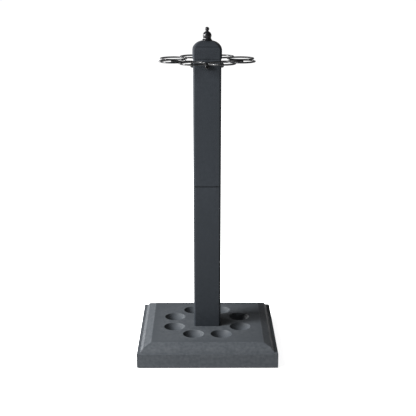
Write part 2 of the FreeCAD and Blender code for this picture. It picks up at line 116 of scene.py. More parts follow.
# Washer under the finial
WASHER_FOOT_ROUND = 0.3 * MM
WASHER_TOP_ROUND = 0.4 * MM
WASHER_HOLE_ROUND = 0.2 * MM

# Rack
RING_COUNT = 8
BUTT_LENGTH = 1.6 * MM
BUTT_SWELL = 0.14
WELD_HALF_LENGTH = 3.5 * MM
WELD_RADIUS = 2.1 * MM
WELD_STEPS = 14
WELD_RIPPLE = 0.07
WELD_BLUNTNESS = 0.6
BRACKET_THICKNESS = 2.0 * MM
BRACKET_BEND = 3.0 * MM
BRACKET_BEND_STEPS = 6
BRACKET_END_STEPS = 8
STRAP_EDGE = 0.35 * MM
FREE_END_SHARE = 0.65
SCREW_HEAD_RADIUS = 5.5 * MM
SCREW_HEAD_HEIGHT = 4.6 * MM
SCREW_HEAD_ROUND = 3.4 * MM
SCREW_SEAT_ROUND = 0.3 * MM
SCREW_FACE_SHARE = 0.7
SCREW_SOCKET_FLATS = 4.0 * MM
SCREW_SOCKET_DEPTH = 2.4 * MM
SCREW_SHANK_RADIUS = 3.0 * MM
SCREW_SHANK_LENGTH = 14.0 * MM

# Feet
FOOT_TAPER = 2.0 * MM
FOOT_RECESS_RADIUS = 6.0 * MM
FOOT_RECESS_TOP = 4.5 * MM
FOOT_HOLE_RADIUS = 2.2 * MM
FOOT_EDGE = 0.4 * MM
FOOT_GROOVES = 3
FOOT_GROOVE_START = 1.6 * MM
FOOT_GROOVE_PITCH = 1.7 * MM
FOOT_GROOVE_HALF = 0.4 * MM
FOOT_GROOVE_DEPTH = 0.5 * MM
FOOT_RIM_FLAT = 0.6 * MM
FOOT_RIM_SLANT = 0.1 * MM

# How finely round things are divided
CUP_SEGMENTS = 72
CUP_STEPS = 14
CUP_LIP_STEPS = 5
BOSS_SEGMENTS = 24
POST_CORNER_STEPS = 8
TURNING_SEGMENTS = 64
RING_SEGMENTS = 112
WIRE_SEGMENTS = 16
WELD_SEGMENTS = 20
SCREW_SEGMENTS = 36
FOOT_SEGMENTS = 48

CROWN_STEPS = 20
COVE_STEPS = 5
BALL_STEPS = 9
TIP_STEPS = 8
SCREW_DOME_STEPS = 7
FLOOR_CELLS = 8

# Joining a flat sheet to the cups' rims
SAME_POINT = 1e-7
RIM_SHARE = 0.999

# Where a noise's values mostly lie
NOISE_LOW = 0.3
NOISE_HIGH = 0.7

# Camera, at the angle that the stand is seen from
CAMERA_PLACE = Vector((-0.0080, -2.2125, 0.9277))
CAMERA_LENS = 82.22
CAMERA_SENSOR = 36.0
CAMERA_PITCH = 0.2577
CAMERA_YAW = 0.0045

# Light: each softbox has a name, a place, its width and height, and its power in watts
LIGHT_TARGET = (0, 0, 0.35)
SOFTBOXES = (("key", (-1.97, -0.66, 1.22), (0.7, 0.7), 440.0),
             ("front", (-1.31, -1.10, 1.89), (0.7, 0.7), 90.0),
             ("back", (-2.0, 1.5, 0.9), (1.0, 0.8), 80.0))
WORLD_STRENGTH = 0.4
FLOOR_GLOW = 0.82
FLOOR_HALF = 40.0


# ---- outlines ----------------------------------------------------------------------------


def square_points(half, rounding, height, steps=4):
    """A square outline with round corners, anticlockwise from above."""
    points = []
    for quarter in range(4):
        start = quarter * TURN / 4
        middle = Matrix.Rotation(start, 3, "Z") @ Vector((half - rounding, half - rounding, 0))
        for k in range(steps + 1):
            angle = start + TURN / 4 * k / steps
            points.append(middle + Vector((rounding * math.cos(angle), rounding * math.sin(angle), height)))
    return points


def circle_points(radius, height, segments, centre=Vector((0, 0, 0))):
    angles = [TURN * k / segments for k in range(segments)]
    return [centre + Vector((radius * math.cos(a), radius * math.sin(a), height)) for a in angles]


def filleted(corners, steps=4):
    """An outline of (distance, height, fillet radius) corners, with its fillets as short arcs.

    Each point comes back as (distance, height, wear), where wear is 1 on a fillet."""
    made = []
    for k, (x, z, radius) in enumerate(corners):
        here = Vector((x, z))
        if radius == 0 or k in (0, len(corners) - 1):
            made.append((x, z, 0.0))
            continue
        before = (Vector(corners[k - 1][:2]) - here).normalized()
        after = (Vector(corners[k + 1][:2]) - here).normalized()
        half_angle = before.angle(after) / 2
        centre = here + (before + after).normalized() * radius / math.sin(half_angle)
        first = here + before * radius / math.tan(half_angle) - centre
        last = here + after * radius / math.tan(half_angle) - centre
        for j in range(steps + 1):
            spoke = first.slerp(last, j / steps) * radius
            made.append((centre.x + spoke.x, centre.y + spoke.y, 1.0))
    return made


def arc_points(first, through, last, steps):
    """Points of the circular arc through three (distance, height) points, the first left out."""
    a, b, c = Vector(first), Vector(through), Vector(last)
    d = 2 * (a.x * (b.y - c.y) + b.x * (c.y - a.y) + c.x * (a.y - b.y))
    squares = [p.length_squared for p in (a, b, c)]
    centre = Vector(((squares[0] * (b.y - c.y) + squares[1] * (c.y - a.y) + squares[2] * (a.y - b.y)) / d,
                     (squares[0] * (c.x - b.x) + squares[1] * (a.x - c.x) + squares[2] * (b.x - a.x)) / d))
    radius = (a - centre).length
    middle = [(a - centre).slerp(b - centre, k / steps) * radius + centre for k in range(1, steps)]
    rest = [(b - centre).slerp(c - centre, k / steps) * radius + centre for k in range(steps + 1)]
    return [(p.x, p.y) for p in middle + rest]


# ---- mesh building -----------------------------------------------------------------------


class Skin:
    """A mesh in the making: loops of points and the faces between them.

    Its wear layer says where an edge is exposed, for the materials to read."""

    def __init__(self):
        self.bm = bmesh.new()
        self.wear = self.bm.verts.layers.float.new("wear")

    def loop(self, points, wear=0.0):
        loop = [self.bm.verts.new(p) for p in points]
        for vert in loop:
            vert[self.wear] = wear
        return loop

    def bridge(self, first, second):
        count = len(first)
        for k in range(count):
            after = (k + 1) % count
            self.bm.faces.new((first[k], first[after], second[after], second[k]))

    def close(self, loop):
        self.bm.faces.new(loop)

    def fan(self, loop, point, wear=0.0):
        tip = self.loop([point], wear)[0]
        for k in range(len(loop)):
            self.bm.faces.new((loop[k], loop[(k + 1) % len(loop)], tip))

    def chain(self, loops, ring=False):
        """Bridges loops one after another, and the last to the first too if they make a ring."""
        for first, second in zip(loops, loops[1:] + loops[:1] if ring else loops[1:]):
            self.bridge(first, second)

    def piece(self, name, material, nodes):
        """Finishes the mesh as a piece that rides on the root and stands for CAD nodes."""
        bmesh.ops.recalc_face_normals(self.bm, faces=self.bm.faces)
        for face in self.bm.faces:
            face.smooth = True
        for edge in self.bm.edges:
            edge.smooth = len(edge.link_faces) == 2 and edge.calc_face_angle() < SHARP_ANGLE
        mesh = bpy.data.meshes.new(name)
        self.bm.to_mesh(mesh)
        self.bm.free()
        mesh.materials.append(material)
        made = bpy.data.objects.new(name, mesh)
        bpy.context.scene.collection.objects.link(made)
        weighted = made.modifiers.new("even_shading", "WEIGHTED_NORMAL")
        weighted.keep_sharp = True
        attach(made, "root")
        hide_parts(*nodes)


def lathe(skin, outline, segments, place=None, closed=False):
    """Turns an outline of (radius, height, wear) points about Z. A radius of 0 is a tip."""
    place = place or Matrix.Identity(4)
    loops, tips = [], []
    for radius, height, wear in outline:
        if radius == 0:
            tips.append((len(loops), place @ Vector((0, 0, height)), wear))
        else:
            points = [place @ p for p in circle_points(radius, height, segments)]
            loops.append(skin.loop(points, wear))
    skin.chain(loops, ring=closed)
    for at, point, wear in tips:
        skin.fan(loops[0] if at == 0 else loops[-1], point, wear)
    return loops


def block(skin, low, high):
    """A plain closed block, for ribs that nobody sees."""
    outline = [(low[0], low[1]), (high[0], low[1]), (high[0], high[1]), (low[0], high[1])]
    bottom = skin.loop([Vector((x, y, low[2])) for x, y in outline])
    top = skin.loop([Vector((x, y, high[2])) for x, y in outline])
    skin.bridge(bottom, top)
    skin.close(bottom)
    skin.close(top)


# ---- materials ---------------------------------------------------------------------------


class Shader:
    """A Principled material whose colour, roughness and bump are worked out by nodes."""

    def __init__(self, name):
        self.material = bpy.data.materials.new(name)
        self.material.use_nodes = True
        self.nodes = self.material.node_tree.nodes
        self.links = self.material.node_tree.links
        self.surface = self.nodes["Principled BSDF"]
        self.place = self.nodes.new("ShaderNodeTexCoord").outputs["Object"]
        self.height = None

    def set(self, **values):
        for name, value in values.items():
            self.surface.inputs[name.replace("_", " ").title().replace("Ior", "IOR")].default_value = value

    def stretched(self, x, y, z):
        mapping = self.nodes.new("ShaderNodeMapping")
        mapping.inputs["Scale"].default_value = (x, y, z)
        self.links.new(self.place, mapping.inputs["Vector"])
        return mapping.outputs[0]

    def noise(self, scale, detail, roughness=0.55, place=None):
        node = self.nodes.new("ShaderNodeTexNoise")
        node.inputs["Scale"].default_value = scale
        node.inputs["Detail"].default_value = detail
        node.inputs["Roughness"].default_value = roughness
        self.links.new(place or self.place, node.inputs["Vector"])
        return node.outputs[0]

    def grains(self, scale):
        node = self.nodes.new("ShaderNodeTexVoronoi")
        node.inputs["Scale"].default_value = scale
        self.links.new(self.place, node.inputs["Vector"])
        return node.outputs["Distance"]

    def spread(self, value, low, high, out_low=0.0, out_high=1.0):
        """Maps low..high onto out_low..out_high, held at both ends."""
        node = self.nodes.new("ShaderNodeMapRange")
        node.inputs["From Min"].default_value = low
        node.inputs["From Max"].default_value = high
        node.inputs["To Min"].default_value = out_low
        node.inputs["To Max"].default_value = out_high
        self.links.new(value, node.inputs["Value"])
        return node.outputs[0]

    def cloudy(self, scale, detail, out_low=0.0, out_high=1.0):
        """Soft patches that run from one value to the other."""
        return self.spread(self.noise(scale, detail), NOISE_LOW, NOISE_HIGH, out_low, out_high)

    def maths(self, operation, first, second):
        node = self.nodes.new("ShaderNodeMath")
        node.operation = operation
        for socket, value in zip(node.inputs, (first, second)):
            if isinstance(value, float):
                socket.default_value = value
            else:
                self.links.new(value, socket)
        return node.outputs[0]

    def mixed(self, share, first, second):
        """A colour between two colours; each may be a colour or another node's output."""
        node = self.nodes.new("ShaderNodeMix")
        node.data_type = "RGBA"
        self.links.new(share, node.inputs["Factor"])
        for socket, value in zip((node.inputs[6], node.inputs[7]), (first, second)):
            if isinstance(value, tuple):
                socket.default_value = (*value, 1.0)
            else:
                self.links.new(value, socket)
        return node.outputs[2]

    def edge_wear(self, amount):
        """Patchy wear on exposed edges, from the mesh's wear layer."""
        layer = self.nodes.new("ShaderNodeAttribute")
        layer.attribute_name = "wear"
        patches = self.spread(self.noise(140.0, 4.0), 0.35, 0.7)
        return self.maths("MULTIPLY", self.maths("MULTIPLY", layer.outputs["Fac"], patches), amount)

    def colour(self, value):
        self.links.new(value, self.surface.inputs["Base Color"])

    def roughness(self, value):
        self.links.new(value, self.surface.inputs["Roughness"])

    def bump(self, value, distance, strength):
        """Adds a bump on top of those already there."""
        node = self.nodes.new("ShaderNodeBump")
        node.inputs["Strength"].default_value = strength
        node.inputs["Distance"].default_value = distance
        self.links.new(value, node.inputs["Height"])
        if self.height is not None:
            self.links.new(self.height, node.inputs["Normal"])
        self.height = node.outputs[0]
        self.links.new(self.height, self.surface.inputs["Normal"])


def post_paint():
    """Charcoal powder coat: orange peel, faint cloudiness, edges rubbed a little paler."""
    s = Shader("post_paint")
    cloud = s.cloudy(9.0, 4.0)
    body = s.mixed(cloud, (0.0060, 0.0071, 0.0085), (0.0067, 0.0078, 0.0093))
    s.colour(s.mixed(s.edge_wear(0.2), body, (0.014, 0.016, 0.019)))
    s.roughness(s.cloudy(60.0, 5.0, 0.46, 0.56))
    s.set(specular_ior_level=0.04)
    s.bump(s.noise(900.0, 2.0), distance=0.04 * MM, strength=0.4)
    return s.material


def base_plastic():
    """Moulded charcoal plastic with a fine spark-eroded grain and a little settled dust."""
    s = Shader("base_plastic")
    cloud = s.cloudy(14.0, 5.0)
    body = s.mixed(cloud, (0.0125, 0.0142, 0.0162), (0.0140, 0.0157, 0.0177))
    speck = s.spread(s.noise(900.0, 2.0), 0.56, 0.72)
    dusty = s.mixed(s.maths("MULTIPLY", speck, 0.06), body, (0.06, 0.06, 0.06))
    s.colour(s.mixed(s.edge_wear(0.3), dusty, (0.036, 0.038, 0.041)))
    s.roughness(s.cloudy(45.0, 5.0, 0.54, 0.62))
    s.set(specular_ior_level=0.05)
    s.bump(s.grains(1500.0), distance=0.03 * MM, strength=0.4)
    return s.material


def cap_plastic():
    s = Shader("cap_plastic")
    cloud = s.cloudy(30.0, 4.0)
    body = s.mixed(cloud, (0.0060, 0.0070, 0.0084), (0.0067, 0.0077, 0.0092))
    s.colour(s.mixed(s.edge_wear(0.2), body, (0.014, 0.016, 0.018)))
    s.roughness(s.cloudy(80.0, 4.0, 0.46, 0.56))
    s.set(specular_ior_level=0.04)
    s.bump(s.grains(1500.0), distance=0.03 * MM, strength=0.4)
    return s.material


def gloss_black():
    """Sprayed black lacquer over turned metal."""
    s = Shader("gloss_black")
    cloud = s.cloudy(120.0, 3.0)
    body = s.mixed(cloud, (0.0014, 0.0016, 0.0020), (0.0022, 0.0024, 0.0028))
    s.colour(s.mixed(s.edge_wear(0.2), body, (0.008, 0.008, 0.009)))
    s.roughness(s.cloudy(300.0, 3.0, 0.22, 0.32))
    s.set(specular_ior_level=0.10)
    s.bump(s.noise(700.0, 2.0), distance=0.04 * MM, strength=0.4)
    return s.material


def wire_enamel():
    """Dipped black enamel on wire, with the slight sag and waves that dipping leaves."""
    s = Shader("wire_enamel")
    cloud = s.cloudy(160.0, 3.0)
    s.colour(s.mixed(cloud, (0.0014, 0.0016, 0.0018), (0.0024, 0.0026, 0.0028)))
    s.roughness(s.cloudy(240.0, 4.0, 0.20, 0.32))
    s.set(specular_ior_level=0.15)
    s.bump(s.noise(260.0, 2.0), distance=0.1 * MM, strength=0.5)
    return s.material


def plug_plastic():
    s = Shader("plug_plastic")
    cloud = s.cloudy(60.0, 4.0)
    # Black plastic made darker still, partly as painted shade: the coupler's flange at the seam between the
    # post tubes stands in for the shadow in that gap.
    s.colour(s.mixed(cloud, (0.0010, 0.0011, 0.0012), (0.0018, 0.0019, 0.0020)))
    s.roughness(s.cloudy(200.0, 3.0, 0.5, 0.65))
    s.set(specular_ior_level=0.04)
    s.bump(s.grains(1200.0), distance=0.05 * MM, strength=0.4)
    return s.material


def foot_rubber():
    s = Shader("foot_rubber")
    cloud = s.cloudy(90.0, 5.0)
    s.colour(s.mixed(cloud, (0.014, 0.014, 0.014), (0.035, 0.034, 0.033)))
    s.roughness(s.cloudy(150.0, 4.0, 0.7, 0.88))
    s.bump(s.noise(1500.0, 3.0), distance=0.08 * MM, strength=0.6)
    return s.material


def plate_paint():
    """Black powder coat on the steel bottom plate, with a few pale scuffs."""
    s = Shader("plate_paint")
    cloud = s.cloudy(18.0, 5.0)
    body = s.mixed(cloud, (0.012, 0.012, 0.013), (0.022, 0.022, 0.024))
    scuffs = s.spread(s.noise(20.0, 6.0, 0.7, s.stretched(1.0, 14.0, 1.0)), 0.66, 0.74, 0.0, 0.35)
    s.colour(s.mixed(scuffs, body, (0.12, 0.12, 0.12)))
    s.roughness(s.cloudy(70.0, 4.0, 0.42, 0.58))
    s.bump(s.noise(600.0, 2.0), distance=0.1 * MM, strength=0.5)
    return s.material


def zinc_steel():
    """Bright zinc plate with fine turning marks and a few dull patches."""
    s = Shader("zinc_steel")
    dull = s.spread(s.noise(220.0, 5.0), 0.4, 0.7)
    s.colour(s.mixed(dull, (0.60, 0.62, 0.66), (0.44, 0.45, 0.46)))
    s.roughness(s.cloudy(400.0, 4.0, 0.22, 0.42))
    s.set(metallic=1.0)
    s.bump(s.noise(900.0, 2.0, 0.5, s.stretched(1.0, 1.0, 6.0)), distance=0.04 * MM, strength=0.5)
    return s.material


def ballast_iron():
    """Cast iron with a sandy skin and traces of rust."""
    s = Shader("ballast_iron")
    rust = s.spread(s.noise(26.0, 6.0, 0.65), 0.52, 0.72)
    s.colour(s.mixed(rust, (0.09, 0.088, 0.086), (0.16, 0.07, 0.035)))
    s.roughness(s.cloudy(120.0, 5.0, 0.55, 0.85))
    s.set(metallic=0.6)
    s.bump(s.noise(700.0, 4.0), distance=0.3 * MM, strength=0.7)
    return s.material


def floor_paper():
    """A pale, matt studio floor with a glow of its own, which keeps it white."""
    s = Shader("floor_paper")
    cloud = s.cloudy(2.0, 3.0)
    s.colour(s.mixed(cloud, (0.54, 0.54, 0.54), (0.56, 0.56, 0.56)))
    s.set(roughness=0.95, specular_ior_level=0.0, emission_strength=FLOOR_GLOW)
    s.surface.inputs["Emission Color"].default_value = (1.0, 1.0, 1.0, 1.0)
    return s.material


MATERIALS = {make.__name__: make() for make in (
    post_paint, base_plastic, cap_plastic, gloss_black, wire_enamel, plug_plastic, foot_rubber,
    plate_paint, zinc_steel, ballast_iron)}


# ---- base --------------------------------------------------------------------------------


def cup_outline(top, grown, lip):
    """A cup's outline from its lip down to its lowest point, its ball grown by a wall."""
    ball = (CUP_RADIUS ** 2 + CUP_DEPTH ** 2) / (2 * CUP_DEPTH)
    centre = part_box("base_shell")[1].z - CUP_DEPTH + ball
    above = centre - top + lip
    distance = math.sqrt((ball + grown + lip) ** 2 - above ** 2)
    turn = math.atan2(distance, above)
    outline = []
    if lip:
        for k in range(CUP_LIP_STEPS + 1):
            angle = turn * k / CUP_LIP_STEPS
            outline.append((distance - lip * math.sin(angle), top - lip + lip * math.cos(angle), 1.0))
    first = 1 if lip else 0
    for k in range(first, CUP_STEPS):
        angle = turn * (1 - k / CUP_STEPS)
        outline.append(((ball + grown) * math.sin(angle), centre - (ball + grown) * math.cos(angle), 0.0))
    outline.append((0, centre - ball - grown, 0.0))
    return outline


def cupped_sheet(skin, border, top, grown, lip):
    """A flat sheet inside the border loop, pierced by the cups that hang from it."""
    outline = cup_outline(top, grown, lip)
    rims = []
    for k in range(CUP_COUNT):
        angle = CUP_FIRST_ANGLE + TURN * k / CUP_COUNT
        centre = Vector((CUP_PITCH_RADIUS * math.cos(angle), CUP_PITCH_RADIUS * math.sin(angle), 0))
        rims.append((centre, lathe(skin, outline, CUP_SEGMENTS, Matrix.Translation(centre))[0]))
    verts = list(border)
    edges = [(k, (k + 1) % len(border)) for k in range(len(border))]
    for _, rim in rims:
        start = len(verts)
        verts += rim
        edges += [(start + k, start + (k + 1) % len(rim)) for k in range(len(rim))]
    _, _, triangles, origins, _, _ = delaunay_2d_cdt([v.co.xy for v in verts], edges, [], 1, SAME_POINT)
    for triangle in triangles:
        corners = [verts[origins[k][0]] for k in triangle]
        middle = sum((v.co for v in corners), Vector()) / 3
        if all((middle.xy - centre.xy).length > outline[0][0] * RIM_SHARE for centre, _ in rims):
            skin.bm.faces.new(corners)


def moulding(skin, outline):
    return [skin.loop(square_points(half, BASE_CORNER, height), wear) for half, height, wear in outline]


def base_skin(skin):
    """The moulded shell: the stepped outside, the rim, and the hollow underside."""
    low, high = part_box("base_shell")
    half, top = high.x, high.z
    skirt_top, riser_top = top - SKIRT_DROP, top - RISER_DROP
    ceiling = top - SHELL_WALL
    inner_half = half - SHELL_WALL
    outside = moulding(skin, filleted([
        (half - SHELL_WALL / 2, low.z, 0), (half, low.z, SKIRT_FOOT_ROUND),
        (half, skirt_top, SKIRT_ROUND), (half - RISER_FOOT_INSET, skirt_top, RISER_FOOT_ROUND),
        (half - RISER_TOP_INSET, riser_top, RISER_ROUND), (half - BEVEL_INSET, top, BEVEL_ROUND),
        (half - BEVEL_INSET - BEVEL_LAND, top, 0)]))
    inside = moulding(skin, filleted([
        (half - SHELL_WALL / 2, low.z, 0), (inner_half, low.z, SKIRT_INNER_ROUND),
        (inner_half, skirt_top - SHELL_WALL, 0),
        (inner_half - RISER_FOOT_INSET, skirt_top - SHELL_WALL, 0),
        (inner_half - RISER_TOP_INSET, riser_top - SHELL_WALL, 0),
        (inner_half - BEVEL_INSET, ceiling, 0)])[1:])
    skin.chain(outside)
    skin.chain([outside[0]] + inside)
    cupped_sheet(skin, outside[-1], top, 0, CUP_LIP)
    cupped_sheet(skin, inside[-1], ceiling, SHELL_WALL, 0)
    return ceiling


def base_stiffening(skin, ceiling):
    """The hub, screw bosses and ribs that hang from the shell's ceiling."""
    plate_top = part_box("bottom_plate")[1].z
    ballast_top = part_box("ballast_plate")[1].z
    into_wall = SHELL_WALL / 2
    hub = [(HUB_RADIUS, plate_top, 0), (HUB_RADIUS, ceiling + into_wall, 0),
           (ROD_HOLE_RADIUS, ceiling + into_wall, 0), (ROD_HOLE_RADIUS, HUB_POCKET_TOP, 0),
           (HUB_POCKET_RADIUS, HUB_POCKET_TOP, 0), (HUB_POCKET_RADIUS, plate_top, 0)]
    lathe(skin, hub, CUP_SEGMENTS, closed=True)
    places = [(x, y) for x in (-1, 0, 1) for y in (-1, 0, 1) if (x, y) != (0, 0)]
    for x, y in places:
        boss = [(0, plate_top, 0), (SCREW_BOSS_RADIUS, plate_top, 0),
                (SCREW_BOSS_RADIUS, SCREW_BOSS_TOP, 0), (0, SCREW_BOSS_TOP, 0)]
        lathe(skin, boss, BOSS_SEGMENTS, Matrix.Translation((x * SCREW_PLACE, y * SCREW_PLACE, 0)))
    thin, far = SHELL_WALL / 2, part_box("base_shell")[1].x - SHELL_WALL - RISER_TOP_INSET
    for side in (-1, 1):
        near, end = sorted((side * (HUB_RADIUS - into_wall), side * far))
        block(skin, (near, -thin, ballast_top), (end, thin, ceiling - SHELL_WALL))
        block(skin, (-thin, near, ballast_top), (thin, end, ceiling - SHELL_WALL))


def make_base():
    skin = Skin()
    ceiling = base_skin(skin)
    base_stiffening(skin, ceiling)
    skin.piece("base_moulding", MATERIALS["base_plastic"], ["base_shell"])


# ---- post and cap ------------------------------------------------------------------------


def make_post_tube(node):
    """A square tube with round corners and softly broken ends."""
    low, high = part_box(node)
    half, inner = high.x, high.x - POST_WALL
    middle = (low.z + high.z) / 2
    outline = filleted([(half, middle, 0), (half, high.z, POST_END_ROUND),
                        (inner, high.z, POST_END_ROUND / 2), (inner, low.z, POST_END_ROUND / 2),
                        (half, low.z, POST_END_ROUND), (half, middle, 0)])[:-1]
    skin = Skin()
    loops = [skin.loop(square_points(at, POST_CORNER - (half - at), height, POST_CORNER_STEPS), wear)
             for at, height, wear in outline]
    skin.chain(loops, ring=True)
    skin.piece(node + "_tube", MATERIALS["post_paint"], [node])


def crown_outline(half, top):
    """The domed top, an arc that ends level at the crown, with a fine groove a little way up."""
    run = half - CAP_CROWN_HALF
    radius = (run ** 2 + CAP_RISE ** 2) / (2 * CAP_RISE)

    def on_arc(drop):
        return CAP_CROWN_HALF + math.sqrt(radius ** 2 - (radius - drop) ** 2)

    groove_top, groove_bottom = CAP_GROOVE_DROP, CAP_GROOVE_DROP + CAP_GROOVE_HEIGHT
    floor_of_groove = on_arc(groove_top) - CAP_GROOVE_DEPTH
    steepest = math.asin(run / radius)
    drops = [radius * (1 - math.cos(steepest * (1 - k / CROWN_STEPS))) for k in range(CROWN_STEPS + 1)]
    below = [(on_arc(drop), drop) for drop in drops if drop > groove_bottom + CAP_GROOVE_MARGIN]
    groove = [(on_arc(groove_bottom), groove_bottom), (floor_of_groove, groove_bottom),
              (floor_of_groove, groove_top), (on_arc(groove_top), groove_top)]
    above = [(on_arc(drop), drop) for drop in drops if drop < groove_top - CAP_GROOVE_MARGIN]
    return [(at, top - drop, 0.0) for at, drop in below + groove + above]


def make_cap():
    low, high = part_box("post_cap")
    half = high.x
    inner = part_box("post_upper")[1].x + CAP_PLAY
    seat = high.z - CAP_SEAT_DROP
    rim = filleted([(inner, seat, 0), (inner, low.z, CAP_INNER_ROUND), (half, low.z, CAP_FOOT_ROUND),
                    (half, high.z - CAP_RISE - CAP_BAND_HEIGHT, 0)])
    crown = crown_outline(half, high.z)
    skin = Skin()
    loops = [skin.loop(square_points(at, CAP_CORNER * at / half, height, POST_CORNER_STEPS), wear)
             for at, height, wear in rim + crown]
    skin.chain(loops)
    skin.close(loops[0])
    skin.close(loops[-1])
    skin.piece("cap_moulding", MATERIALS["cap_plastic"], ["post_cap"])


# ---- finial ------------------------------------------------------------------------------


def on_circle(radius, middle, distance, side):
    return distance, middle + side * math.sqrt(radius ** 2 - distance ** 2)


def finial_outline(height):
    """Foot, cove, ball, cove and tip ball, up from the foot."""
    tip_middle = height - FINIAL_TIP_RADIUS
    waist = on_circle(FINIAL_BALL_RADIUS, FINIAL_BALL_HEIGHT, FINIAL_WAIST_RADIUS, -1)
    shoulder = on_circle(FINIAL_BALL_RADIUS, FINIAL_BALL_HEIGHT, FINIAL_SHOULDER_RADIUS, 1)
    neck = on_circle(FINIAL_TIP_RADIUS, tip_middle, FINIAL_NECK_RADIUS, -1)
    foot_edge = (FINIAL_FOOT_RADIUS, FINIAL_FOOT_HEIGHT)
    lower_cove = (FINIAL_WAIST_RADIUS, (foot_edge[1] + waist[1]) / 2)
    upper_cove = (neck[0] + FINIAL_COVE_SHARE * (shoulder[0] - neck[0]), (shoulder[1] + neck[1]) / 2)
    points = [foot_edge]
    points += arc_points(foot_edge, lower_cove, waist, COVE_STEPS)
    points += arc_points(waist, (FINIAL_BALL_RADIUS, FINIAL_BALL_HEIGHT), shoulder, BALL_STEPS)
    points += arc_points(shoulder, upper_cove, neck, COVE_STEPS)
    points += arc_points(neck, (FINIAL_TIP_RADIUS, tip_middle), (0, height), TIP_STEPS)[:-1]
    return points + [(0, height)]


def make_finial():
    low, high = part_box("finial")
    hole = [(0, FINIAL_HOLE_DEPTH), (FINIAL_HOLE_RADIUS, FINIAL_HOLE_DEPTH), (FINIAL_HOLE_RADIUS, 0)]
    chamfer = [(FINIAL_FOOT_RADIUS - FINIAL_FOOT_CHAMFER, 0), (FINIAL_FOOT_RADIUS, FINIAL_FOOT_CHAMFER)]
    outline = hole + chamfer + finial_outline(high.z - low.z)
    skin = Skin()
    lathe(skin, [(radius, low.z + height, 0.0) for radius, height in outline], TURNING_SEGMENTS)
    skin.piece("finial_turning", MATERIALS["gloss_black"], ["finial"])


def make_finial_washer():
    low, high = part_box("finial_washer")
    rim, hole = high.x, ROD_HOLE_RADIUS
    middle = (rim + hole) / 2
    outline = filleted([(middle, low.z, 0), (rim, low.z, WASHER_FOOT_ROUND),
                        (rim, high.z, WASHER_TOP_ROUND), (hole, high.z, WASHER_HOLE_ROUND),
                        (hole, low.z, WASHER_HOLE_ROUND), (middle, low.z, 0)])[:-1]
    skin = Skin()
    lathe(skin, outline, TURNING_SEGMENTS, closed=True)
    skin.piece("washer_under_finial", MATERIALS["gloss_black"], ["finial_washer"])


# ---- rack --------------------------------------------------------------------------------


def make_ring(node):
    """A wire ring whose butt joint, nearest the post, swells a little where it was welded."""
    low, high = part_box(node)
    centre = (low + high) / 2
    wire = (high.z - low.z) / 2
    radius = (high.x - low.x) / 2 - wire
    joint = math.atan2(-centre.y, -centre.x)
    skin = Skin()
    loops = []
    for k in range(RING_SEGMENTS):
        angle = TURN * k / RING_SEGMENTS
        away = abs((angle - joint + math.pi) % TURN - math.pi) * radius
        outward = Vector((math.cos(angle), math.sin(angle), 0))
        swollen = wire * (1 + BUTT_SWELL * math.exp(-(away / BUTT_LENGTH) ** 2))
        spokes = [TURN * j / WIRE_SEGMENTS for j in range(WIRE_SEGMENTS)]
        loops.append(skin.loop([centre + outward * (radius + swollen * math.cos(t))
                                + Vector((0, 0, min(swollen, wire) * math.sin(t))) for t in spokes]))
    skin.chain(loops, ring=True)
    skin.piece(node + "_wire", MATERIALS["wire_enamel"], [node])


def make_ring_welds():
    """Rippled beads between neighbouring rings, lying along the two wires they join."""
    low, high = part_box("ring_welds")
    height = (low.z + high.z) / 2
    reach = high.x - WELD_HALF_LENGTH
    skin = Skin()
    outline = [(0, -WELD_HALF_LENGTH, 0)]
    for j in range(1, WELD_STEPS):
        angle = math.pi * j / WELD_STEPS
        ripple = 1 - WELD_RIPPLE * (j % 2)
        outline.append((WELD_RADIUS * ripple * math.sin(angle) ** WELD_BLUNTNESS,
                        -WELD_HALF_LENGTH * math.cos(angle), 0))
    outline.append((0, WELD_HALF_LENGTH, 0))
    for k in range(RING_COUNT):
        place = Matrix.Rotation(TURN * k / RING_COUNT, 4, "Z") @ Matrix.Translation((reach, 0, height))
        lathe(skin, outline, WELD_SEGMENTS, place @ Matrix.Rotation(TURN / 4, 4, "Y"))
    skin.piece("weld_beads", MATERIALS["wire_enamel"], ["ring_welds"])


def bracket_path(inner, reach, leg_top, tab_end):
    """The strap's middle line from its free end, in along the leg, round the bend and down."""
    middle = BRACKET_THICKNESS / 2
    bend = BRACKET_BEND - middle
    corner = (inner + middle, leg_top - middle)
    path = [((reach, corner[1]), (0, 1)), ((corner[0] + bend, corner[1]), (0, 1))]
    for k in range(1, BRACKET_BEND_STEPS):
        angle = TURN / 4 * k / BRACKET_BEND_STEPS
        across, up = -math.sin(angle), math.cos(angle)
        path.append(((corner[0] + bend + bend * across, corner[1] - bend + bend * up), (across, up)))
    path.append(((corner[0], corner[1] - bend), (-1, 0)))
    path.append(((corner[0], tab_end), (-1, 0)))
    return path


def strap_section(skin, place, at, outward, half_width):
    """A thin rectangle with broken edges across the strap."""
    half, edge = BRACKET_THICKNESS / 2, STRAP_EDGE
    corners = [(-half_width, -half + edge), (-half_width + edge, -half), (half_width - edge, -half),
               (half_width, -half + edge), (half_width, half - edge), (half_width - edge, half),
               (-half_width + edge, half), (-half_width, half - edge)]
    points = [place @ Vector((at[0] + outward[0] * v, u, at[1] + outward[1] * v)) for u, v in corners]
    return skin.loop(points)


